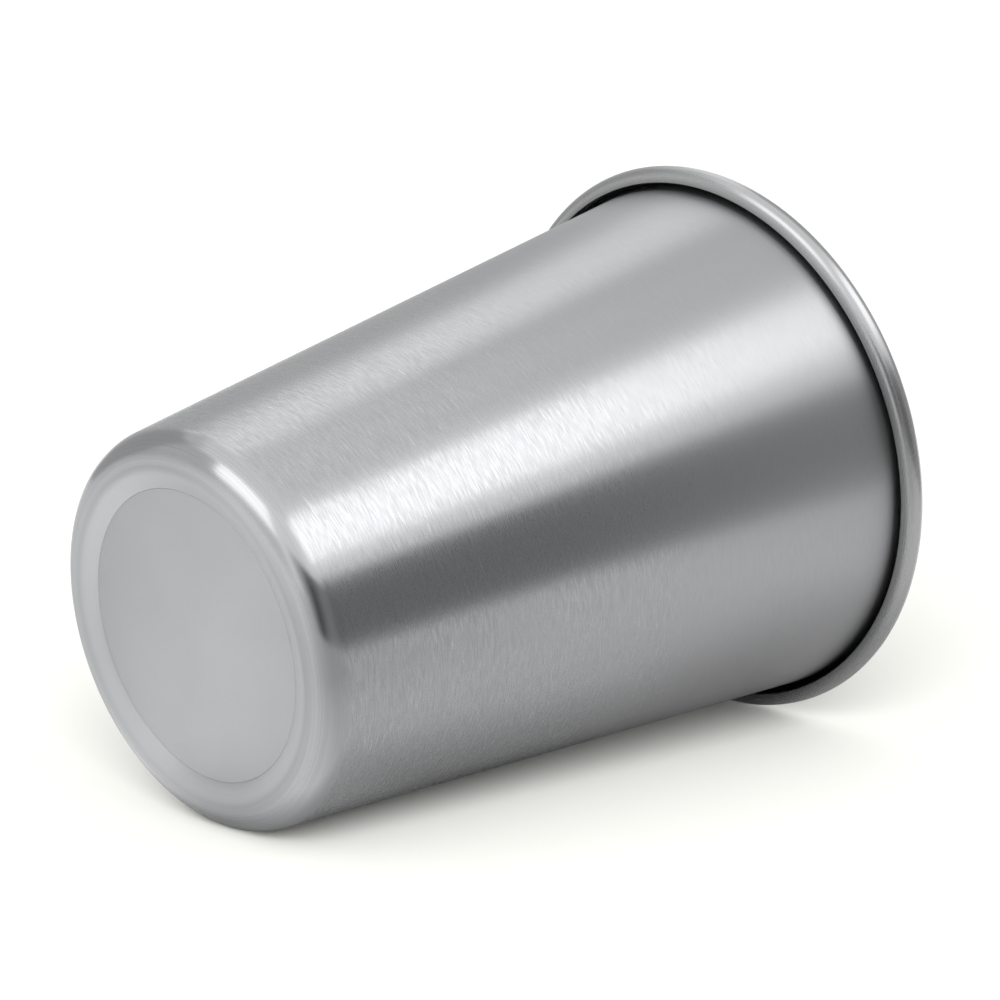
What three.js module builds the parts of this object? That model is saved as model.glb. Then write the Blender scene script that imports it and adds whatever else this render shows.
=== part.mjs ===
// A tapered stainless steel cup with a rolled rim, welded from four pieces of formed sheet.
// Millimetres, +Z up along the cup's axis, origin in the middle of the base on the floor.
import * as THREE from "three";

// Sizes of the cup as a whole
const cupHeight = 100; // floor to the top of the rolled rim
const rimDiameter = 82; // across the outside of the rolled rim
const footDiameter = 55; // across the outside of the wall where its line meets the floor
const sheet = 0.5; // thickness of the steel

// Sizes of the rolled rim
const beadRadius = 1.5; // outside of the bead that the sheet rolls into
const neckRadius = 4; // outside of the bend that leads the wall out to the bead
const neckOutset = 0.55; // how far that bend leads it out
const lipSlope = 13; // fall of the straight lip from the bead towards the wall, in degrees
const lipLength = 1; // straight lip, past the end of the bead's bend
const rimSeamDrop = 0.3; // seam between rim and wall, below the start of the neck

// Sizes of the base
const heelRadius = 4.4; // outside of the bend between wall and base
const heelSeamRise = 1; // seam between wall and heel ring, above the end of the heel's bend
const landWidth = 0.6; // flat ring that the cup stands on
const slopeWidth = 2.7; // sloping ring between the land and the disc
const discRecess = 0.95; // underside of the disc, above the floor

// Fineness of the round stretches
const facetsAround = 72;
const beadSteps = 16;
const neckSteps = 4;
const heelSteps = 6;

// The wall leans so that it passes the middle of the bead at the bead's hollow radius and the neck's outset.
const footRadius = footDiameter / 2;
const hollowRadius = beadRadius - sheet;
const beadClearance = hollowRadius + neckOutset;
const bead = new THREE.Vector2(rimDiameter / 2 - beadRadius, cupHeight - beadRadius);
const beadOutset = bead.x - footRadius;
const beadReach = Math.hypot(beadOutset, bead.y);
const lean = Math.atan2(beadOutset, bead.y) - Math.asin(beadClearance / beadReach);

function outsideOfWall(height) {
  return new THREE.Vector2(footRadius + height * Math.tan(lean), height);
}

function insideOfWall(height) {
  return new THREE.Vector2(outsideOfWall(height).x - sheet / Math.cos(lean), height);
}

// The heel's bend touches the floor and the outside of the wall.
const heel = new THREE.Vector2(
  footRadius + heelRadius * Math.tan(lean) - heelRadius / Math.cos(lean),
  heelRadius,
);
const heelBendTop = heelRadius * (1 - Math.sin(lean));
const heelSeam = heelBendTop + heelSeamRise;
const landInner = heel.x - landWidth;
const discRadius = landInner - slopeWidth;

// The neck's bend starts on the outside of the wall and runs into the hollow of the bead.
const neckTurn = Math.acos(1 - neckOutset / (neckRadius - hollowRadius));
const neckLength = (neckRadius - hollowRadius) * Math.sin(neckTurn);
const upTheWall = new THREE.Vector2(Math.sin(lean), Math.cos(lean));
const awayFromWall = new THREE.Vector2(Math.cos(lean), -Math.sin(lean));
const beadFoot = bead.clone().addScaledVector(awayFromWall, -beadClearance);
const neckStart = beadFoot.clone().addScaledVector(upTheWall, -neckLength);
const neck = neckStart.clone().addScaledVector(awayFromWall, neckRadius);
const rimSeam = neckStart.y - rimSeamDrop;

// Points of a bend about a centre in the cup's section, from one angle to another.
function bend(centre, radius, from, to, clockwise, steps) {
  return new THREE.ArcCurve(centre.x, centre.y, radius, from, to, clockwise).getPoints(steps);
}

// Turns a section of radius and height about the axis. A section that starts off the axis closes on itself.
function turned(name, section, finish) {
  const outline = section[0].x > 0 ? [...section, section[0]] : section;
  const geometry = new THREE.LatheGeometry(outline, facetsAround).rotateX(Math.PI / 2);
  const mesh = new THREE.Mesh(geometry, new THREE.MeshStandardMaterial(finish));
  mesh.name = name;
  return mesh;
}

// Tapered sleeve between the two ring seams.
function sideWall() {
  const section = [
    insideOfWall(heelSeam),
    outsideOfWall(heelSeam),
    outsideOfWall(rimSeam),
    insideOfWall(rimSeam),
  ];
  return turned("side_wall", section, { color: 0xb9babc, metalness: 1, roughness: 0.38 });
}

// Short collar whose sheet bends out, rolls over the top and comes back to a free edge clear of the wall.
function rolledRim() {
  const wallSide = Math.PI - lean;
  const endOfNeck = wallSide - neckTurn;
  const lipSide = THREE.MathUtils.degToRad(lipSlope) - Math.PI / 2;
  const lip = new THREE.Vector2(Math.sin(lipSide), -Math.cos(lipSide)).multiplyScalar(lipLength);
  const hollow = bend(bead, hollowRadius, endOfNeck, lipSide, true, beadSteps);
  const outside = bend(bead, beadRadius, lipSide, endOfNeck, false, beadSteps);
  const section = [
    insideOfWall(rimSeam),
    outsideOfWall(rimSeam),
    ...bend(neck, neckRadius, wallSide, endOfNeck, true, neckSteps),
    ...hollow.slice(1),
    hollow.at(-1).clone().add(lip),
    outside[0].clone().add(lip),
    ...outside,
    ...bend(neck, neckRadius + sheet, endOfNeck, wallSide, false, neckSteps).slice(1),
  ];
  return turned("rolled_rim", section, { color: 0xbdbec0, metalness: 1, roughness: 0.3 });
}

// Pressed ring with an upstand, the heel's bend, the standing land and the slope up to the disc.
function heelRing() {
  const slope = Math.atan2(discRecess, slopeWidth);
  const wallSide = -lean;
  const floorSide = -Math.PI / 2;
  const section = [
    new THREE.Vector2(discRadius, discRecess),
    new THREE.Vector2(landInner, 0),
    ...bend(heel, heelRadius, floorSide, wallSide, false, heelSteps),
    outsideOfWall(heelSeam),
    insideOfWall(heelSeam),
    ...bend(heel, heelRadius - sheet, wallSide, floorSide, true, heelSteps),
    new THREE.Vector2(landInner + sheet * Math.tan(slope / 2), sheet),
    new THREE.Vector2(discRadius, discRecess + sheet / Math.cos(slope)),
  ];
  return turned("heel_ring", section, { color: 0xbcbdbf, metalness: 1, roughness: 0.32 });
}

// Flat disc that closes the base.
function baseDisc() {
  const section = [
    new THREE.Vector2(0, discRecess),
    new THREE.Vector2(discRadius, discRecess),
    new THREE.Vector2(discRadius, discRecess + sheet),
    new THREE.Vector2(0, discRecess + sheet),
  ];
  return turned("base_disc", section, { color: 0xb4b5b7, metalness: 1, roughness: 0.5 });
}

const cup = new THREE.Group();
cup.name = "stainless_steel_cup";
cup.add(sideWall(), rolledRim(), heelRing(), baseDisc());

export default cup;
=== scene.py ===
import math
import bpy
from bpy.props import FloatProperty, FloatVectorProperty, IntProperty, PointerProperty
from mathutils import Matrix, Vector


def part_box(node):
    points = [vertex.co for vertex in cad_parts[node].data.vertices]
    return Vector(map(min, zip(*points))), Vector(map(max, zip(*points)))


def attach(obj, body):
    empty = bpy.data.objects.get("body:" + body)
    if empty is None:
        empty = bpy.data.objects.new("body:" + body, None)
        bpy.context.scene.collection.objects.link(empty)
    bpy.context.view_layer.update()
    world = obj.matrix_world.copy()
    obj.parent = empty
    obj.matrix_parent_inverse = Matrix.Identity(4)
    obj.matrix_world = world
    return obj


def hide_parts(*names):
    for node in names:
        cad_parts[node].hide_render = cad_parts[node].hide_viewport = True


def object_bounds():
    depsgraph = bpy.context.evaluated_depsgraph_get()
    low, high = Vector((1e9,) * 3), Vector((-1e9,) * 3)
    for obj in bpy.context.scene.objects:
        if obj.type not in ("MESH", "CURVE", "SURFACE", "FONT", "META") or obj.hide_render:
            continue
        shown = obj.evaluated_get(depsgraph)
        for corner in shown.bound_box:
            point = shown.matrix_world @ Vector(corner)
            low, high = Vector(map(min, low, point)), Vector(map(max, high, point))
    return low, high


bl_info = {
    "name": "Stainless Steel Cup",
    "version": (1, 0, 0),
    "blender": (4, 5, 0),
    "location": "3D View > Sidebar > Cup",
    "description": "Turns the sheet pieces of a steel cup, finishes them and lays the cup on a studio table",
    "category": "Add Mesh",
}

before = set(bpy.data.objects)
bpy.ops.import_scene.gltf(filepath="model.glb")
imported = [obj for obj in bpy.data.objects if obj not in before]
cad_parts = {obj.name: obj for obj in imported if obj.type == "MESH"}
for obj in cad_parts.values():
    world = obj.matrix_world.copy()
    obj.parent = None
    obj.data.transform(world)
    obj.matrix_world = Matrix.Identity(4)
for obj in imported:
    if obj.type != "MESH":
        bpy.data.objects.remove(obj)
cad_low, cad_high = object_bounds()

# What the frame says about the cup, in metres
wall_low, wall_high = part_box("side_wall")
heel_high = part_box("heel_ring")[1]
disc_low, disc_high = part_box("base_disc")
cup_height = cad_high.z
rim_radius = cad_high.x
disc_radius = disc_high.x
disc_recess = disc_low.z
sheet = disc_high.z - disc_low.z
heel_seam = wall_low.z
rim_seam = wall_high.z
wall_slope = (wall_high.x - heel_high.x) / (rim_seam - heel_seam)
foot_radius = heel_high.x - heel_seam * wall_slope
lean = math.atan(wall_slope)


class CupSizes(bpy.types.PropertyGroup):
    """Sizes of the cup that its frame doesn't give, and the fineness of its pieces."""

    bead_radius: FloatProperty(
        name="Bead Radius",
        description="Outside radius of the rolled rim",
        default=0.0015,
        subtype="DISTANCE",
        unit="LENGTH",
    )
    neck_radius: FloatProperty(
        name="Neck Radius",
        description="Outside radius of the bend that leads the wall out to the rolled rim",
        default=0.004,
        subtype="DISTANCE",
        unit="LENGTH",
    )
    lip_slope: FloatProperty(
        name="Lip Slope",
        description="Fall of the straight lip from the rolled rim towards the wall",
        default=math.radians(13),
        subtype="ANGLE",
        unit="ROTATION",
    )
    lip_length: FloatProperty(
        name="Lip Length",
        description="Straight lip past the end of the rolled rim's bend",
        default=0.001,
        subtype="DISTANCE",
        unit="LENGTH",
    )
    heel_radius: FloatProperty(
        name="Heel Radius",
        description="Outside radius of the bend between wall and base",
        default=0.0044,
        subtype="DISTANCE",
        unit="LENGTH",
    )
    land_width: FloatProperty(
        name="Land Width",
        description="Width of the flat ring that the cup stands on",
        default=0.0006,
        subtype="DISTANCE",
        unit="LENGTH",
    )
    edge_radius: FloatProperty(
        name="Edge Radius",
        description="Rounding of the cut edges of the sheet",
        default=0.00006,
        subtype="DISTANCE",
        unit="LENGTH",
    )
    facets_around: IntProperty(
        name="Facets Around",
        description="Faces round the cup",
        default=360,
        min=24,
    )
    sharp_angle: FloatProperty(
        name="Sharp Angle",
        description="Edges that bend more than this are left sharp",
        default=math.radians(32),
        subtype="ANGLE",
        unit="ROTATION",
    )


class CupFinishes(bpy.types.PropertyGroup):
    """Colours of the four finishes of the steel."""

    # Lighter tone of the brush grain, on the crests of the strokes.
    wall_light: FloatVectorProperty(
        name="Wall Light",
        description="Colour of the brushed wall on the crests of its strokes",
        default=(0.59, 0.598, 0.608),
        size=3,
        min=0,
        max=1,
        subtype="COLOR",
    )
    # Darker tone of the brush grain in the stroke grooves: grain, with painted micro-shade in the grooves.
    wall_dark: FloatVectorProperty(
        name="Wall Dark",
        description="Colour of the brushed wall in its strokes",
        default=(0.514, 0.522, 0.534),
        size=3,
        min=0,
        max=1,
        subtype="COLOR",
    )
    rim: FloatVectorProperty(
        name="Rim",
        description="Colour of the satin rim",
        default=(0.575, 0.58, 0.588),
        size=3,
        min=0,
        max=1,
        subtype="COLOR",
    )
    base: FloatVectorProperty(
        name="Base",
        description="Colour of the matt base",
        default=(0.517, 0.523, 0.532),
        size=3,
        min=0,
        max=1,
        subtype="COLOR",
    )


class CupStage(bpy.types.PropertyGroup):
    """The table that the cup lies on, its lamps and its camera."""

    lens: FloatProperty(
        name="Lens",
        description="Focal length of the camera on a 36 mm sensor",
        default=141.2,
        subtype="DISTANCE_CAMERA",
        unit="CAMERA",
    )
    heading: FloatProperty(
        name="Heading",
        description="Turn of the camera about the table's normal, away from the line that the cup lies along",
        default=math.radians(46.92),
        subtype="ANGLE",
        unit="ROTATION",
    )
    pitch: FloatProperty(
        name="Pitch",
        description="How far the camera looks down at the table",
        default=math.radians(12.094),
        subtype="ANGLE",
        unit="ROTATION",
    )
    camera_place: FloatVectorProperty(
        name="Camera Place",
        description="From the middle of the cup's base: to the right, forwards and up from the table",
        default=(0.0408, -0.4989, 0.1255),
        size=3,
        subtype="XYZ",
        unit="LENGTH",
    )
    table_colour: FloatVectorProperty(
        name="Table Colour",
        description="Colour of the table top",
        default=(0.95, 0.945, 0.905),
        size=3,
        min=0,
        max=1,
        subtype="COLOR",
    )
    table_light: FloatProperty(
        name="Table Light",
        description="Brightness of the room for the light that falls on the table",
        default=0.66,
        min=0,
    )
    front_light: FloatProperty(
        name="Front Light",
        description="Share of the table's brightness that comes from the front",
        default=0.46,
        min=0,
    )


# The cup's section, as points of radius and height


def outside_of_wall(height):
    return (foot_radius + height * wall_slope, height)


def inside_of_wall(height):
    return (outside_of_wall(height)[0] - sheet / math.cos(lean), height)


def bend(centre, radius, start, end, steps):
    """Points of an arc about a centre, both ends included."""
    angles = [start + (end - start) * step / steps for step in range(steps + 1)]
    return [(centre[0] + radius * math.cos(a), centre[1] + radius * math.sin(a)) for a in angles]


def side_wall_section():
    """Sleeve between the two ring seams."""
    rings = 20
    heights = [heel_seam + (rim_seam - heel_seam) * ring / rings for ring in range(rings + 1)]
    return [outside_of_wall(h) for h in heights] + [inside_of_wall(h) for h in reversed(heights)]


def bead_centre(sizes):
    return Vector((rim_radius - sizes.bead_radius, cup_height - sizes.bead_radius))


def rolled_rim_section(sizes):
    """Collar whose sheet bends out, rolls over the top and comes back to a free edge clear of the wall."""
    roll_steps = 64
    neck_steps = 16
    bead = bead_centre(sizes)
    hollow_radius = sizes.bead_radius - sheet
    away = Vector((math.cos(lean), -math.sin(lean)))
    up_the_wall = Vector((math.sin(lean), math.cos(lean)))
    clearance = (bead - Vector(outside_of_wall(0.0))).dot(away)
    neck_reach = sizes.neck_radius - hollow_radius
    neck_turn = math.acos(1 - (clearance - hollow_radius) / neck_reach)
    neck = bead + away * (sizes.neck_radius - clearance) - up_the_wall * neck_reach * math.sin(neck_turn)
    wall_side = math.pi - lean
    neck_end = wall_side - neck_turn
    lip_side = sizes.lip_slope - math.pi / 2
    hollow = bend(neck, sizes.neck_radius, wall_side, neck_end, neck_steps)
    hollow += bend(bead, hollow_radius, neck_end, lip_side, roll_steps)[1:]
    outside = bend(bead, sizes.bead_radius, lip_side, neck_end, roll_steps)
    outside += bend(neck, sizes.neck_radius + sheet, neck_end, wall_side, neck_steps)[1:]
    lip = free_edge(sizes, bead, lip_side)
    return [inside_of_wall(rim_seam), outside_of_wall(rim_seam)] + hollow + lip + outside


def free_edge(sizes, bead, lip_side):
    """Points of the straight lip and its rounded end, from the hollow of the bead to its outside."""
    steps = 10
    across = Vector((math.cos(lip_side), math.sin(lip_side)))
    along = Vector((math.sin(lip_side), -math.cos(lip_side)))
    middle = bead + across * (sizes.bead_radius - sheet / 2)
    rounding = sheet / 4
    straight = sizes.lip_length - rounding
    shares = [0.4, 0.8, 0.95]
    points = [middle - across * sheet / 2 + along * straight * share for share in shares]
    for step in range(steps + 1):
        turn = math.pi * (step / steps - 0.5)
        end = along * (straight + rounding * math.cos(turn))
        points.append(middle + across * math.sin(turn) * sheet / 2 + end)
    points += [middle + across * sheet / 2 + along * straight * share for share in reversed(shares)]
    return [tuple(point) for point in points]


def heel_ring_section(sizes):
    """Upstand, heel bend, standing land and the slope up to the disc, with a rounded edge at the disc."""
    steps = 64
    heel_radius = sizes.heel_radius
    heel = (foot_radius + heel_radius * wall_slope - heel_radius / math.cos(lean), heel_radius)
    land_inner = heel[0] - sizes.land_width
    slope = math.atan2(disc_recess, land_inner - disc_radius)
    floor_side = -math.pi / 2
    edge = sizes.edge_radius
    toe = (disc_radius, disc_recess)
    toe_out = (toe[0] + edge * math.cos(slope), toe[1] - edge * math.sin(slope))
    toe_up = (toe[0], toe[1] + edge)
    toe_mid = ((toe[0] * 2 + toe_out[0] + toe_up[0]) / 4, (toe[1] * 2 + toe_out[1] + toe_up[1]) / 4)
    outside = [toe_up, toe_mid, toe_out]
    corner_length = sizes.land_width * 0.8
    outside += rounded_corner(toe_out, (land_inner, 0.0), corner_length)
    outside += bend(heel, heel_radius, floor_side, -lean, steps)
    outside += [outside_of_wall(heel_seam)]
    inside = [inside_of_wall(heel_seam)]
    inside += bend(heel, heel_radius - sheet, -lean, floor_side, steps)
    inside += [(land_inner + sheet * math.tan(slope / 2), sheet)]
    inside += [(disc_radius, disc_recess + sheet / math.cos(slope))]
    return outside + inside


def rounded_corner(before, corner, length):
    """Points of a soft corner between the slope and the land, in place of the corner itself."""
    steps = 8
    back = Vector(before) - Vector(corner)
    start = Vector(corner) + back.normalized() * length
    end = Vector((corner[0] + length, corner[1]))
    found = []
    for step in range(steps + 1):
        t = step / steps
        point = start * (1 - t) ** 2 + Vector(corner) * 2 * t * (1 - t) + end * t ** 2
        found.append((point.x, max(point.y, 0.0)))
    return found


def base_disc_section(sizes):
    """Flat disc with a rounded lower edge, open at the axis where its poles close it."""
    steps = 4
    edge = sizes.edge_radius
    corner = (disc_radius - edge, disc_recess + edge)
    lower = [(0.0, disc_recess)] + bend(corner, edge, -math.pi / 2, 0.0, steps)
    return lower + [(disc_radius, disc_recess + sheet), (0.0, disc_recess + sheet)]


# Nodes


def add(tree, kind, inputs=None, **settings):
    """Adds a node, sets its properties and feeds its inputs with values or with other nodes' sockets."""
    made = tree.nodes.new(kind)
    for name, value in settings.items():
        setattr(made, name, value)
    for key, value in (inputs or {}).items():
        if isinstance(value, bpy.types.NodeSocket):
            tree.links.new(value, made.inputs[key])
        else:
            made.inputs[key].default_value = value
    return made


def maths(tree, operation, *values):
    return add(tree, "ShaderNodeMath", dict(enumerate(values)), operation=operation).outputs[0]


def spread(tree, value, low, high, to_low, to_high):
    """Maps a value from one range to another, held at the ends."""
    inputs = {0: value, 1: low, 2: high, 3: to_low, 4: to_high}
    return add(tree, "ShaderNodeMapRange", inputs, clamp=True).outputs[0]


def turning_tree():
    """Turns a section drawn in the XZ plane about the Z axis, closes the poles and shades it smooth."""
    found = bpy.data.node_groups.get("turned_sheet")
    if found:
        return found
    tree = bpy.data.node_groups.new("turned_sheet", "GeometryNodeTree")
    tree.is_modifier = True
    sockets = tree.interface
    sockets.new_socket("Section", in_out="INPUT", socket_type="NodeSocketGeometry")
    sockets.new_socket("Facets Around", in_out="INPUT", socket_type="NodeSocketInt")
    sockets.new_socket("Sharp Angle", in_out="INPUT", socket_type="NodeSocketFloat")
    sockets.new_socket("Finish", in_out="INPUT", socket_type="NodeSocketMaterial")
    sockets.new_socket("Piece", in_out="OUTPUT", socket_type="NodeSocketGeometry")
    turning_radius = 0.001
    weld = 0.000002
    given = add(tree, "NodeGroupInput").outputs
    laid = add(
        tree,
        "GeometryNodeTransform",
        {
            "Geometry": given["Section"],
            "Translation": (-turning_radius, 0.0, 0.0),
            "Rotation": (math.pi / 2, 0.0, 0.0),
        },
    )
    profile = add(tree, "GeometryNodeMeshToCurve", {"Mesh": laid.outputs[0]})
    circle = add(
        tree,
        "GeometryNodeCurvePrimitiveCircle",
        {"Resolution": given["Facets Around"], "Radius": turning_radius},
        mode="RADIUS",
    )
    upright = add(tree, "GeometryNodeSetCurveNormal", {"Curve": circle.outputs[0]}, mode="Z_UP")
    swept = add(
        tree,
        "GeometryNodeCurveToMesh",
        {"Curve": upright.outputs[0], "Profile Curve": profile.outputs[0]},
    )
    closed = add(tree, "GeometryNodeMergeByDistance", {"Geometry": swept.outputs[0], "Distance": weld})
    angle = add(tree, "GeometryNodeInputMeshEdgeAngle").outputs["Unsigned Angle"]
    gentle = add(tree, "FunctionNodeCompare", {0: angle, 1: given["Sharp Angle"]}, operation="LESS_THAN")
    smooth_edges = add(
        tree,
        "GeometryNodeSetShadeSmooth",
        {"Geometry": closed.outputs[0], "Shade Smooth": gentle.outputs[0]},
        domain="EDGE",
    )
    smooth_faces = add(
        tree,
        "GeometryNodeSetShadeSmooth",
        {"Geometry": smooth_edges.outputs[0], "Shade Smooth": True},
        domain="FACE",
    )
    real = add(tree, "GeometryNodeRealizeInstances", {"Geometry": smooth_faces.outputs[0]})
    finished = add(
        tree,
        "GeometryNodeSetMaterial",
        {"Geometry": real.outputs[0], "Material": given["Finish"]},
    )
    add(tree, "NodeGroupOutput", {"Piece": finished.outputs[0]})
    return tree


def turned_piece(name, section, closed, node, finish):
    """Turns a section into a piece that stands for its CAD node."""
    sizes = bpy.context.scene.cup_sizes
    wire = bpy.data.meshes.new(name + "_section")
    edges = [(i, i + 1) for i in range(len(section) - 1)]
    if closed:
        edges.append((len(section) - 1, 0))
    wire.from_pydata([(radius, 0.0, height) for radius, height in section], edges, [])
    piece = bpy.data.objects.new(name, wire)
    bpy.context.scene.collection.objects.link(piece)
    tree = turning_tree()
    turning = piece.modifiers.new("Turning", "NODES")
    turning.node_group = tree
    values = {"Facets Around": sizes.facets_around, "Sharp Angle": sizes.sharp_angle, "Finish": finish}
    for socket in tree.interface.items_tree:
        if socket.name in values:
            turning[socket.identifier] = values[socket.name]
    depsgraph = bpy.context.evaluated_depsgraph_get()
    turned = bpy.data.meshes.new_from_object(piece.evaluated_get(depsgraph), depsgraph=depsgraph)
    piece.modifiers.remove(turning)
    piece.data = turned
    turned.name = name
    bpy.data.meshes.remove(wire)
    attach(piece, "root")
    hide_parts(node)


# Finishes. Depths of their marks are in metres, and grain is how much finer they reflect along the marks.
brush_depth = 0.0000052
brush_grain = 0.7
roller_depth = 0.000002
roller_grain = 0.3
disc_depth = 0.000004
disc_grain = 0.0
# Painted glint: near-white colour of the scratches.
scratch_glint_colour = (0.95, 0.95, 0.955)
# Painted shade: near-black colour for the slit and hollow behind the rolled rim's lip and for the lip's
# underside.
slit_shade_colour = (0.12, 0.12, 0.124)


def new_finish(name):
    made = bpy.data.materials.new(name)
    made.use_nodes = True
    made.node_tree.nodes.clear()
    return made, made.node_tree


def surface_places(tree):
    """Object coordinates, the distance from the axis, and a run that grows up the wall and round the heel."""
    place = add(tree, "ShaderNodeTexCoord").outputs["Object"]
    apart = add(tree, "ShaderNodeSeparateXYZ", {0: place}).outputs
    across = add(tree, "ShaderNodeVectorMath", {0: place, 1: (1.0, 1.0, 0.0)}, operation="MULTIPLY")
    radius = add(tree, "ShaderNodeVectorMath", {0: across.outputs[0]}, operation="LENGTH").outputs["Value"]
    run = maths(tree, "ADD", radius, apart["Z"])
    return place, apart, radius, run


def strokes(tree, apart, run, along, across, detail):
    """Noise drawn out round the cup into short fine strokes, with so many a metre along and across them."""
    vector = add(
        tree,
        "ShaderNodeCombineXYZ",
        {
            "X": maths(tree, "MULTIPLY", apart["X"], along),
            "Y": maths(tree, "MULTIPLY", apart["Y"], along),
            "Z": maths(tree, "MULTIPLY", run, across),
        },
    )
    inputs = {"Vector": vector.outputs[0], "Scale": 1.0, "Detail": detail, "Roughness": 0.6}
    return add(tree, "ShaderNodeTexNoise", inputs).outputs["Fac"]


def mix_colours(tree, amount, low, high):
    """Mixes two colours, each a value or another node's socket."""
    ends = [c if isinstance(c, bpy.types.NodeSocket) else (*c, 1.0) for c in (low, high)]
    return add(tree, "ShaderNodeMix", {0: amount, 6: ends[0], 7: ends[1]}, data_type="RGBA").outputs[2]


def clouds(tree, place, per_metre, detail):
    inputs = {"Vector": place, "Scale": per_metre, "Detail": detail, "Roughness": 0.6}
    return add(tree, "ShaderNodeTexNoise", inputs).outputs["Fac"]


def off_course(tree, place, run, per_metre, slant):
    """Run across the strokes, shifted slowly so that the strokes slant a little one way or the other."""
    shift = maths(tree, "SUBTRACT", clouds(tree, place, per_metre, 0.0), 0.5)
    return maths(tree, "ADD", run, maths(tree, "MULTIPLY", shift, slant / per_metre))


def brushing(tree, place, apart, run):
    """Short fine strokes round the cup, in stronger and weaker patches, and a few scratches, which are
    painted bright as a glint.
    """
    straight_run = off_course(tree, place, run, 150.0, slant=0.03)
    straight = strokes(tree, apart, straight_run, along=650.0, across=7500.0, detail=1.0)
    slanting_run = off_course(tree, place, run, 190.0, slant=0.12)
    slanting = strokes(tree, apart, slanting_run, along=480.0, across=6000.0, detail=0.0)
    both = maths(tree, "SUBTRACT", maths(tree, "ADD", straight, slanting), 1.0)
    patches = spread(tree, clouds(tree, place, 75.0, 1.0), 0.35, 0.65, 0.6, 1.2)
    height_fade = spread(tree, apart["Z"], 0.02, 0.09, 1.0, 0.25)
    amount = maths(tree, "MULTIPLY", patches, height_fade)
    scratch_run = off_course(tree, place, run, 120.0, slant=0.1)
    long_marks = strokes(tree, apart, scratch_run, along=330.0, across=5200.0, detail=0.0)
    scratches = spread(tree, long_marks, 0.78, 0.84, 0.0, 0.5)
    scratched = spread(tree, apart["Z"], 0.03, 0.065, 1.0, 0.0)
    return maths(tree, "MULTIPLY", both, amount), maths(tree, "MULTIPLY", scratches, scratched)


def steel_surface(tree, colour, roughness, bump, bump_depth, grain):
    """Brushed, satin or matt steel with fine marks round the cup."""
    tangent = add(tree, "ShaderNodeTangent", direction_type="RADIAL", axis="Z").outputs[0]
    normal = add(tree, "ShaderNodeBump", {"Strength": 1.0, "Distance": bump_depth, "Height": bump})
    inputs = {
        "Base Color": colour,
        "Metallic": 1.0,
        "Roughness": roughness,
        "Anisotropic": grain,
        "Anisotropic Rotation": 0.25,
        "Tangent": tangent,
        "Normal": normal.outputs[0],
    }
    shader = add(tree, "ShaderNodeBsdfPrincipled", inputs)
    add(tree, "ShaderNodeOutputMaterial", {"Surface": shader.outputs[0]})


def brushed_wall():
    """Satin wall, brushed round the cup in short strokes that are weaker towards the rim."""
    colours = bpy.context.scene.cup_finishes
    dull_from = 0.04
    dull_to = 0.095
    finish, tree = new_finish("brushed_wall")
    place, apart, _, run = surface_places(tree)
    brushed, scratches = brushing(tree, place, apart, run)
    # Tone of the brush grain, darker where the strokes' bump is low: grain, with painted micro-shade in the
    # grooves.
    tone = spread(tree, brushed, -0.3, 0.3, 0.0, 1.0)
    colour = mix_colours(tree, tone, colours.wall_dark, colours.wall_light)
    # The scratches are real marks, painted near white as a glint.
    colour = mix_colours(tree, scratches, colour, scratch_glint_colour)
    duller = spread(tree, apart["Z"], dull_from, dull_to, 0.0, 0.09)
    roughness = maths(tree, "ADD", spread(tree, brushed, -0.25, 0.25, 0.33, 0.23), duller)
    steel_surface(tree, colour, roughness, brushed, brush_depth, brush_grain)
    return finish


def slit_shade_amount(tree, apart, radius):
    """How deep a place lies in the slit behind the lip, from 0 outside it to 1 at the top of its neck, as the
    amount of painted shade there; the hollow of the bead and the underside of the lip get painted shade too.
    """
    sizes = bpy.context.scene.cup_sizes
    bead = bead_centre(sizes)
    hollow = sizes.bead_radius - sheet
    out = maths(tree, "SUBTRACT", radius, bead.x)
    above = maths(tree, "SUBTRACT", apart["Z"], bead.y)
    off_centre = add(tree, "ShaderNodeCombineXYZ", {"X": out, "Y": above}).outputs[0]
    reach = add(tree, "ShaderNodeVectorMath", {0: off_centre}, operation="LENGTH").outputs["Value"]
    # Painted shade in the hollow of the bead, at half strength.
    hollow_shade = spread(tree, reach, hollow + sheet * 0.25, hollow + sheet * 0.6, 0.5, 0.0)
    wall_line = maths(tree, "ADD", maths(tree, "MULTIPLY", apart["Z"], wall_slope), foot_radius)
    off_wall = maths(tree, "SUBTRACT", radius, wall_line)
    middle_of_sheet = spread(tree, above, -hollow * 1.5, 0.0, -sheet / 2, sheet * 0.6)
    outer_side = maths(tree, "GREATER_THAN", off_wall, middle_of_sheet)
    behind_lip = maths(tree, "LESS_THAN", radius, bead.x - hollow)
    up_the_neck = spread(tree, above, -hollow * 1.9, -hollow * 0.3, 0.0, 1.0)
    below_bead = maths(tree, "LESS_THAN", above, hollow * 0.3)
    in_slit = maths(tree, "MULTIPLY", outer_side, maths(tree, "MULTIPLY", behind_lip, below_bead))
    neck_shade = maths(tree, "MULTIPLY", up_the_neck, in_slit)
    # Painted shade under the lip, strongest towards its free edge.
    edge_shade = spread(tree, out, -hollow * 0.7, hollow * 0.4, 0.6, 0.0)
    under_lip = maths(tree, "LESS_THAN", above, -hollow * 0.8)
    lip_shade = maths(tree, "MULTIPLY", edge_shade, maths(tree, "SUBTRACT", under_lip, behind_lip))
    return maths(tree, "MAXIMUM", hollow_shade, maths(tree, "MAXIMUM", neck_shade, lip_shade))


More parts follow.
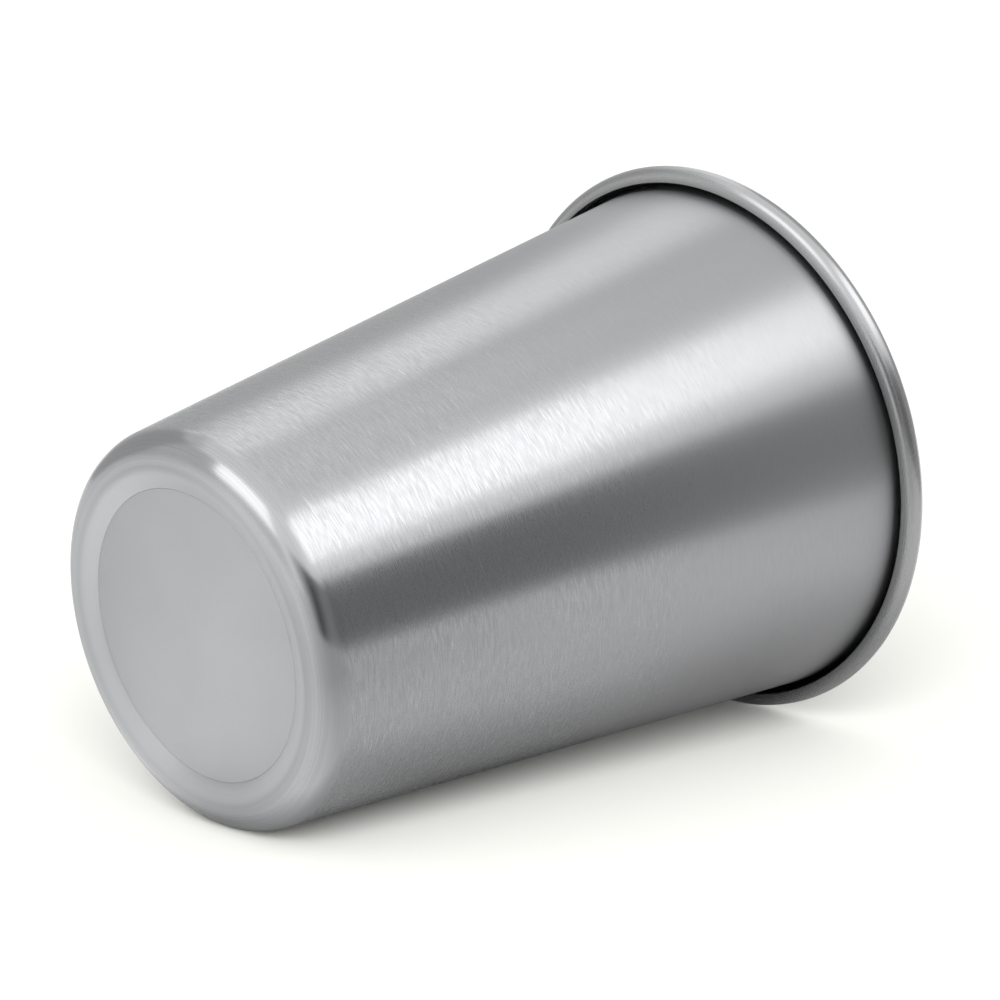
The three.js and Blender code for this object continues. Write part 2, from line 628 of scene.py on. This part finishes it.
def satin_rim():
    """Smooth satin bead with faint marks of the roller round it, with painted shade in the slit behind its
    lip.
    """
    colours = bpy.context.scene.cup_finishes
    collar_height = 0.0019
    finish, tree = new_finish("satin_rim")
    _, apart, radius, run = surface_places(tree)
    marks = strokes(tree, apart, run, along=90.0, across=4200.0, detail=2.0)
    darker = tuple(c * 0.94 for c in colours.rim)
    colour = mix_colours(tree, marks, darker, colours.rim)
    # Painted shade darkens the slit, the hollow of the bead and the underside of the lip.
    colour = mix_colours(tree, slit_shade_amount(tree, apart, radius), colour, slit_shade_colour)
    bead = bead_centre(bpy.context.scene.cup_sizes)
    on_collar = maths(tree, "LESS_THAN", radius, bead.x - sheet * 2)
    down_the_collar = spread(tree, apart["Z"], bead.y - collar_height, bead.y, 0.14, 0.0)
    as_wall = maths(tree, "MULTIPLY", on_collar, down_the_collar)
    roughness = maths(tree, "ADD", spread(tree, marks, 0.3, 0.7, 0.25, 0.3), as_wall)
    steel_surface(tree, colour, roughness, marks, roller_depth, roller_grain)
    return finish


def turned_heel():
    """Heel and land with fine rings from turning, brushed like the wall above the bend."""
    colours = bpy.context.scene.cup_finishes
    slope_radius = 0.0222
    land_radius = 0.0232
    bend_radius = 0.0236
    groove_radius = 0.0245
    polish_radius = 0.0256
    bend_height = 0.0022
    wall_height = 0.0044
    finish, tree = new_finish("turned_heel")
    place, apart, radius, run = surface_places(tree)
    brushed = brushing(tree, place, apart, run)[0]
    grooves = maths(tree, "SUBTRACT", strokes(tree, apart, run, along=30.0, across=6500.0, detail=1.0), 0.5)
    grooved = spread(tree, radius, land_radius, groove_radius, 0.2, 1.0)
    rings = maths(tree, "MULTIPLY", grooves, grooved)
    on_wall = spread(tree, apart["Z"], bend_height, wall_height, 0.0, 1.0)
    marks = add(tree, "ShaderNodeMix", {0: on_wall, 2: rings, 3: brushed}).outputs[0]
    # Tone of the rings and strokes, darker where their bump is low: grain, with painted micro-shade in the
    # grooves.
    tone = spread(tree, marks, -0.25, 0.25, 0.0, 1.0)
    colour = mix_colours(tree, tone, colours.wall_dark, colours.wall_light)
    matt_land = spread(tree, radius, bend_radius, polish_radius, 0.4, 0.0)
    smoother_slope = spread(tree, radius, slope_radius, land_radius, 0.55, 1.0)
    matt = maths(tree, "MULTIPLY", matt_land, smoother_slope)
    as_wall = maths(tree, "MULTIPLY", on_wall, 0.08)
    polish = spread(tree, marks, -0.25, 0.25, 0.25, 0.15)
    roughness = maths(tree, "ADD", polish, maths(tree, "ADD", matt, as_wall))
    depth = maths(tree, "MULTIPLY", marks, spread(tree, on_wall, 0.0, 1.0, 0.6, 1.0))
    steel_surface(tree, colour, roughness, depth, brush_depth, brush_grain)
    return finish


def matt_base():
    """Fine matt disc with a faint grain."""
    colours = bpy.context.scene.cup_finishes
    finish, tree = new_finish("matt_base")
    place = add(tree, "ShaderNodeTexCoord").outputs["Object"]
    grain = clouds(tree, place, 5000.0, 2.0)
    tone = maths(tree, "MULTIPLY", maths(tree, "ADD", grain, clouds(tree, place, 60.0, 2.0)), 0.5)
    darker = tuple(c * 0.93 for c in colours.base)
    colour = mix_colours(tree, spread(tree, tone, 0.3, 0.7, 0.0, 1.0), darker, colours.base)
    roughness = spread(tree, tone, 0.3, 0.7, 0.48, 0.42)
    steel_surface(tree, colour, roughness, grain, disc_depth, disc_grain)
    return finish


# The studio, in metres
table_radius = 2.6
net_radius = 2.5
net_lift = 0.0004
lamp_distance = 1.1
near_cards = 0.23
far_cards = 0.95


def table_axes():
    """Right, forwards and up on the table, as the camera stands, in the cup's own frame."""
    stage = bpy.context.scene.cup_stage
    sizes = bpy.context.scene.cup_sizes
    bead = bead_centre(sizes)
    heel_x = foot_radius + sizes.heel_radius * wall_slope - sizes.heel_radius / math.cos(lean)
    reach = bead - Vector((heel_x, sizes.heel_radius))
    tilt = math.atan2(reach.x, reach.y) - math.asin((sizes.heel_radius - sizes.bead_radius) / reach.length)
    up = Vector((-math.cos(tilt), 0.0, math.sin(tilt)))
    along = Vector((math.sin(tilt), 0.0, math.cos(tilt)))
    beside = along.cross(up)
    forwards = along * math.cos(stage.heading) - beside * math.sin(stage.heading)
    right = forwards.cross(up)
    return right, forwards, up


def table_drop():
    """From the middle of the cup's base down to the table."""
    sizes = bpy.context.scene.cup_sizes
    up = table_axes()[2]
    bead = bead_centre(sizes)
    return sizes.bead_radius - Vector((bead.x, 0.0, bead.y)).dot(up)


def towards(azimuth, elevation):
    """Direction in the studio: azimuth to the right of straight ahead, elevation above the table."""
    right, forwards, up = table_axes()
    level = forwards * math.cos(azimuth) + right * math.sin(azimuth)
    return level * math.cos(elevation) + up * math.sin(elevation)


def middle_of_cup():
    return Vector((0.0, 0.0, cup_height / 2))


def make_table():
    stage = bpy.context.scene.cup_stage
    finish, tree = new_finish("table_top")
    white = add(tree, "ShaderNodeBsdfDiffuse", {"Color": (*stage.table_colour, 1.0)})
    behind = add(tree, "ShaderNodeNewGeometry").outputs["Backfacing"]
    clear = add(tree, "ShaderNodeBsdfTransparent")
    sided = add(tree, "ShaderNodeMixShader", {0: behind, 1: white.outputs[0], 2: clear.outputs[0]})
    add(tree, "ShaderNodeOutputMaterial", {"Surface": sided.outputs[0]})
    round_sheet("table_top", finish, table_radius, 0.0)


def middle_of_table():
    """The place on the table below the middle of the cup."""
    middle = middle_of_cup()
    up = table_axes()[2]
    return middle - up * (middle.dot(up) + table_drop())


def round_sheet(name, finish, radius, lift):
    """A round sheet on the table, about the cup."""
    right, forwards, up = table_axes()
    sides = 96
    turns = [2 * math.pi * side / sides for side in range(sides)]
    middle = middle_of_table() + up * lift
    points = [middle + (right * math.cos(t) + forwards * math.sin(t)) * radius for t in turns]
    mesh = bpy.data.meshes.new(name)
    mesh.from_pydata(points, [], [range(sides)])
    mesh.materials.append(finish)
    made = bpy.data.objects.new(name, mesh)
    bpy.context.scene.collection.objects.link(made)
    return made


def make_soft_box(name, azimuth, elevation, distance, width, height, brightness):
    """A soft box that faces the cup. Brightness is its radiance, on top of the white room's 1."""
    watts_per_radiance = 4.0
    lamp = bpy.data.lights.new(name, "AREA")
    lamp.shape = "RECTANGLE"
    lamp.size = width
    lamp.size_y = height
    lamp.energy = brightness * width * height * watts_per_radiance
    box = bpy.data.objects.new(name, lamp)
    box.visible_camera = False
    back = towards(math.radians(azimuth), math.radians(elevation))
    up = table_axes()[2]
    side = up.cross(back).normalized()
    top = back.cross(side)
    box.matrix_world = placed(side, top, back, middle_of_cup() + back * distance)
    bpy.context.scene.collection.objects.link(box)


def make_front_light():
    """A wide soft lamp from the front that lights the table, and that the steel doesn't see."""
    azimuth = math.radians(-178)
    elevation = math.radians(24)
    softness = math.radians(40)
    lamp = bpy.data.lights.new("front_light", "SUN")
    lamp.angle = softness
    lamp.energy = bpy.context.scene.cup_stage.front_light * math.pi / math.sin(elevation)
    back = towards(azimuth, elevation)
    side = table_axes()[2].cross(back).normalized()
    front = bpy.data.objects.new("front_light", lamp)
    front.visible_camera = False
    front.visible_glossy = False
    front.matrix_world = placed(side, back.cross(side), back, middle_of_cup() + back)
    bpy.context.scene.collection.objects.link(front)


def placed(side, top, back, place):
    """Matrix of an object whose own X, Y and Z axes are side, top and back."""
    turn = Matrix((side, top, back)).transposed().to_4x4()
    return Matrix.Translation(place) @ turn


def make_card(name, azimuths, elevations, distance, brightness):
    """A curved grey card that only the steel sees, as a patch of a sphere about the cup.

    Its brightness runs from a first value to a second along its azimuths.
    """
    steps = 12
    points = []
    values = []
    for row in range(steps + 1):
        elevation = math.radians(elevations[0] + (elevations[1] - elevations[0]) * row / steps)
        for column in range(steps + 1):
            azimuth = math.radians(azimuths[0] + (azimuths[1] - azimuths[0]) * column / steps)
            points.append(middle_of_cup() + towards(azimuth, elevation) * distance)
            values.append(brightness[0] + (brightness[1] - brightness[0]) * column / steps)
    wide = steps + 1
    starts = [row * wide + column for row in range(steps) for column in range(steps)]
    faces = [(s, s + 1, s + wide + 1, s + wide) for s in starts]
    mesh = bpy.data.meshes.new(name)
    mesh.from_pydata(points, [], faces)
    mesh.attributes.new("brightness", "FLOAT", "POINT").data.foreach_set("value", values)
    finish, tree = new_finish(name)
    bright = add(tree, "ShaderNodeAttribute", attribute_name="brightness").outputs["Fac"]
    grey = add(tree, "ShaderNodeEmission", {"Strength": bright})
    add(tree, "ShaderNodeOutputMaterial", {"Surface": grey.outputs[0]})
    mesh.materials.append(finish)
    card = bpy.data.objects.new(name, mesh)
    card.visible_camera = False
    card.visible_diffuse = False
    card.visible_shadow = False
    bpy.context.scene.collection.objects.link(card)


def net_side(tree, way, azimuth, open_from, dense_from, most):
    """How much the net holds back towards one side of the table, by the cosine of the angle from it."""
    dense_side = towards(math.radians(azimuth), 0.0)
    facing = add(tree, "ShaderNodeVectorMath", {0: way, 1: dense_side}, operation="DOT_PRODUCT")
    return spread(tree, facing.outputs["Value"], open_from, dense_from, 0.0, most)


def make_net():
    """A grey net over the table that only the steel sees, so that it mirrors less of the white: painted shade
    in the reflected table.

    The net is denser at the right, at the front, at the back left and close beside the cup, where it stands
    in for the table's shade, deepest beside the cup.
    """
    finish, tree = new_finish("shade_net")
    place = add(tree, "ShaderNodeTexCoord").outputs["Object"]
    apart = add(tree, "ShaderNodeVectorMath", {0: place, 1: middle_of_table()}, operation="SUBTRACT")
    way = add(tree, "ShaderNodeVectorMath", {0: apart.outputs[0]}, operation="NORMALIZE").outputs[0]
    reach = add(tree, "ShaderNodeVectorMath", {0: apart.outputs[0]}, operation="LENGTH").outputs["Value"]
    far = spread(tree, reach, 0.05, 0.1, 0.0, 1.0)
    right = net_side(tree, way, 135, 0.0, 0.6, 0.41)
    front = maths(tree, "MULTIPLY", far, net_side(tree, way, -175, 0.3, 0.9, 0.34))
    back_left = net_side(tree, way, -58, 0.72, 0.9, 0.32)
    axes = add(tree, "ShaderNodeSeparateXYZ", {0: place}).outputs
    beside = add(tree, "ShaderNodeClamp", {"Value": axes["Z"], "Min": 0.006, "Max": cup_height}).outputs[0]
    past_end = maths(tree, "SUBTRACT", axes["Z"], beside)
    off_line = add(tree, "ShaderNodeCombineXYZ", {"X": past_end, "Y": axes["Y"]}).outputs[0]
    distance = add(tree, "ShaderNodeVectorMath", {0: off_line}, operation="LENGTH").outputs["Value"]
    narrower = spread(tree, axes["Z"], -0.006, 0.004, 1.9, 1.0)
    wider = spread(tree, axes["Z"], 0.06, 0.1, 1.0, 0.58)
    distance = maths(tree, "MULTIPLY", distance, maths(tree, "MULTIPLY", narrower, wider))
    # Painted shade in the reflected table close beside the cup.
    passed = spread(tree, distance, 0.003, 0.036, 0.29, 1.0)
    for held in (right, front, back_left):
        passed = maths(tree, "MULTIPLY", passed, maths(tree, "SUBTRACT", 1.0, held))
    # The net passes a little more blue, tinting the painted shade in the reflection.
    bluer = maths(tree, "MULTIPLY", passed, 1.04)
    tint = add(tree, "ShaderNodeCombineColor", {"Red": passed, "Green": passed, "Blue": bluer})
    thin = add(tree, "ShaderNodeBsdfTransparent", {"Color": tint.outputs[0]})
    add(tree, "ShaderNodeOutputMaterial", {"Surface": thin.outputs[0]})
    net = round_sheet("shade_net", finish, net_radius, net_lift)
    net.visible_camera = False
    net.visible_diffuse = False
    net.visible_shadow = False


def make_room():
    """White all round for the camera and for the steel, and a soft light for the table."""
    stage = bpy.context.scene.cup_stage
    room = bpy.data.worlds.new("white_room")
    room.use_nodes = True
    tree = room.node_tree
    tree.nodes.clear()
    rays = add(tree, "ShaderNodeLightPath").outputs
    seen = maths(tree, "MAXIMUM", rays["Is Camera Ray"], rays["Is Glossy Ray"])
    shown = maths(tree, "MAXIMUM", seen, rays["Is Transmission Ray"])
    light = add(tree, "ShaderNodeBackground", {"Color": (1.0, 1.0, 1.0, 1.0), "Strength": stage.table_light})
    white = add(tree, "ShaderNodeBackground", {"Color": (1.0, 1.0, 1.0, 1.0), "Strength": 1.0})
    both = add(tree, "ShaderNodeMixShader", {0: shown, 1: light.outputs[0], 2: white.outputs[0]})
    add(tree, "ShaderNodeOutputWorld", {"Surface": both.outputs[0]})
    bpy.context.scene.world = room


def make_camera():
    stage = bpy.context.scene.cup_stage
    right, forwards, up = table_axes()
    lens = bpy.data.cameras.new("camera")
    lens.sensor_width = 36.0
    lens.lens = stage.lens
    camera = bpy.data.objects.new("camera", lens)
    ahead = forwards * math.cos(stage.pitch) - up * math.sin(stage.pitch)
    place = right * stage.camera_place[0] + forwards * stage.camera_place[1] + up * stage.camera_place[2]
    camera.matrix_world = placed(right, right.cross(ahead), -ahead, place)
    bpy.context.scene.collection.objects.link(camera)
    bpy.context.scene.camera = camera


class CUP_OT_side_wall(bpy.types.Operator):
    """Turn the brushed side wall"""

    bl_idname = "cup.side_wall"
    bl_label = "Side Wall"

    def execute(self, context):
        section = side_wall_section()
        turned_piece("brushed_side_wall", section, True, "side_wall", brushed_wall())
        return {"FINISHED"}


class CUP_OT_rolled_rim(bpy.types.Operator):
    """Turn the rolled rim"""

    bl_idname = "cup.rolled_rim"
    bl_label = "Rolled Rim"

    def execute(self, context):
        section = rolled_rim_section(context.scene.cup_sizes)
        turned_piece("satin_rolled_rim", section, True, "rolled_rim", satin_rim())
        return {"FINISHED"}


class CUP_OT_heel_ring(bpy.types.Operator):
    """Turn the heel ring"""

    bl_idname = "cup.heel_ring"
    bl_label = "Heel Ring"

    def execute(self, context):
        section = heel_ring_section(context.scene.cup_sizes)
        turned_piece("turned_heel_ring", section, True, "heel_ring", turned_heel())
        return {"FINISHED"}


class CUP_OT_base_disc(bpy.types.Operator):
    """Turn the base disc"""

    bl_idname = "cup.base_disc"
    bl_label = "Base Disc"

    def execute(self, context):
        section = base_disc_section(context.scene.cup_sizes)
        turned_piece("matt_base_disc", section, False, "base_disc", matt_base())
        return {"FINISHED"}


class CUP_OT_stage(bpy.types.Operator):
    """Lay the table, hang the lamps and cards and place the camera"""

    bl_idname = "cup.stage"
    bl_label = "Stage"

    def execute(self, context):
        context.scene.view_settings.view_transform = "Standard"
        make_table()
        make_room()
        make_soft_box("left_soft_box", -121, 36.5, lamp_distance, width=0.85, height=0.56, brightness=0.62)
        make_soft_box("right_soft_box", 122, 49.2, lamp_distance, width=1.05, height=0.48, brightness=0.68)
        make_front_light()
        make_card("right_card", (45, 66), (1, 23), near_cards, (0.5, 0.5))
        make_card("dark_card_right", (66, 105), (-6.2, 23), near_cards, (0.38, 0.38))
        make_card("dark_card", (105, 150), (-6.8, 26), near_cards, (0.17, 0.17))
        make_card("dark_card_edge", (66, 171), (-9.5, -5.5), 0.228, (0.36, 0.3))
        make_card("dark_card_front", (150, 171), (-8.4, 21), near_cards, (0.28, 0.24))
        make_card("dark_card_left", (171, 186), (-8.4, 20), near_cards, (0.24, 0.0))
        make_card("dark_card_end", (186, 206), (-8.4, 20), near_cards, (0.0, 0.75))
        make_card("low_left_card", (-140, -105), (-4, 16), far_cards, (0.74, 0.74))
        make_card("left_card", (-105, -75), (-2, 48), far_cards, (0.6, 0.6))
        make_card("back_left_card", (-75, -30), (-2, 45), far_cards, (0.43, 0.43))
        make_card("high_left_card", (-75, -18), (45, 57), far_cards, (0.68, 0.68))
        make_card("back_card", (-30, -2), (2, 38), far_cards, (0.56, 0.56))
        make_card("back_glow", (-18, 6), (44, 66), 1.2, (1.15, 1.15))
        make_card("back_right_card", (15, 75), (19, 65), far_cards, (0.48, 0.48))
        make_card("top_card", (-180, 180), (56, 90), 1.3, (0.92, 0.92))
        make_net()
        make_camera()
        return {"FINISHED"}


piece_operators = (CUP_OT_side_wall, CUP_OT_rolled_rim, CUP_OT_heel_ring, CUP_OT_base_disc)


class CUP_PT_panel(bpy.types.Panel):
    """Lists the pieces of the cup, its sizes and finishes, and the stage"""

    bl_idname = "CUP_PT_panel"
    bl_label = "Stainless Steel Cup"
    bl_space_type = "VIEW_3D"
    bl_region_type = "UI"
    bl_category = "Cup"

    def draw(self, context):
        for operator in piece_operators:
            self.layout.operator(operator.bl_idname)
        self.layout.operator(CUP_OT_stage.bl_idname)
        for group in (context.scene.cup_sizes, context.scene.cup_finishes, context.scene.cup_stage):
            for name in group.__annotations__:
                self.layout.prop(group, name)


property_groups = {"cup_sizes": CupSizes, "cup_finishes": CupFinishes, "cup_stage": CupStage}
classes = (*property_groups.values(), *piece_operators, CUP_OT_stage, CUP_PT_panel)


def register():
    for each in classes:
        bpy.utils.register_class(each)
    for name, group in property_groups.items():
        setattr(bpy.types.Scene, name, PointerProperty(type=group))


def unregister():
    for name in property_groups:
        delattr(bpy.types.Scene, name)
    for each in reversed(classes):
        bpy.utils.unregister_class(each)


def main():
    register()
    bpy.ops.cup.side_wall()
    bpy.ops.cup.rolled_rim()
    bpy.ops.cup.heel_ring()
    bpy.ops.cup.base_disc()
    bpy.ops.cup.stage()


if __name__ == "__main__":
    main()
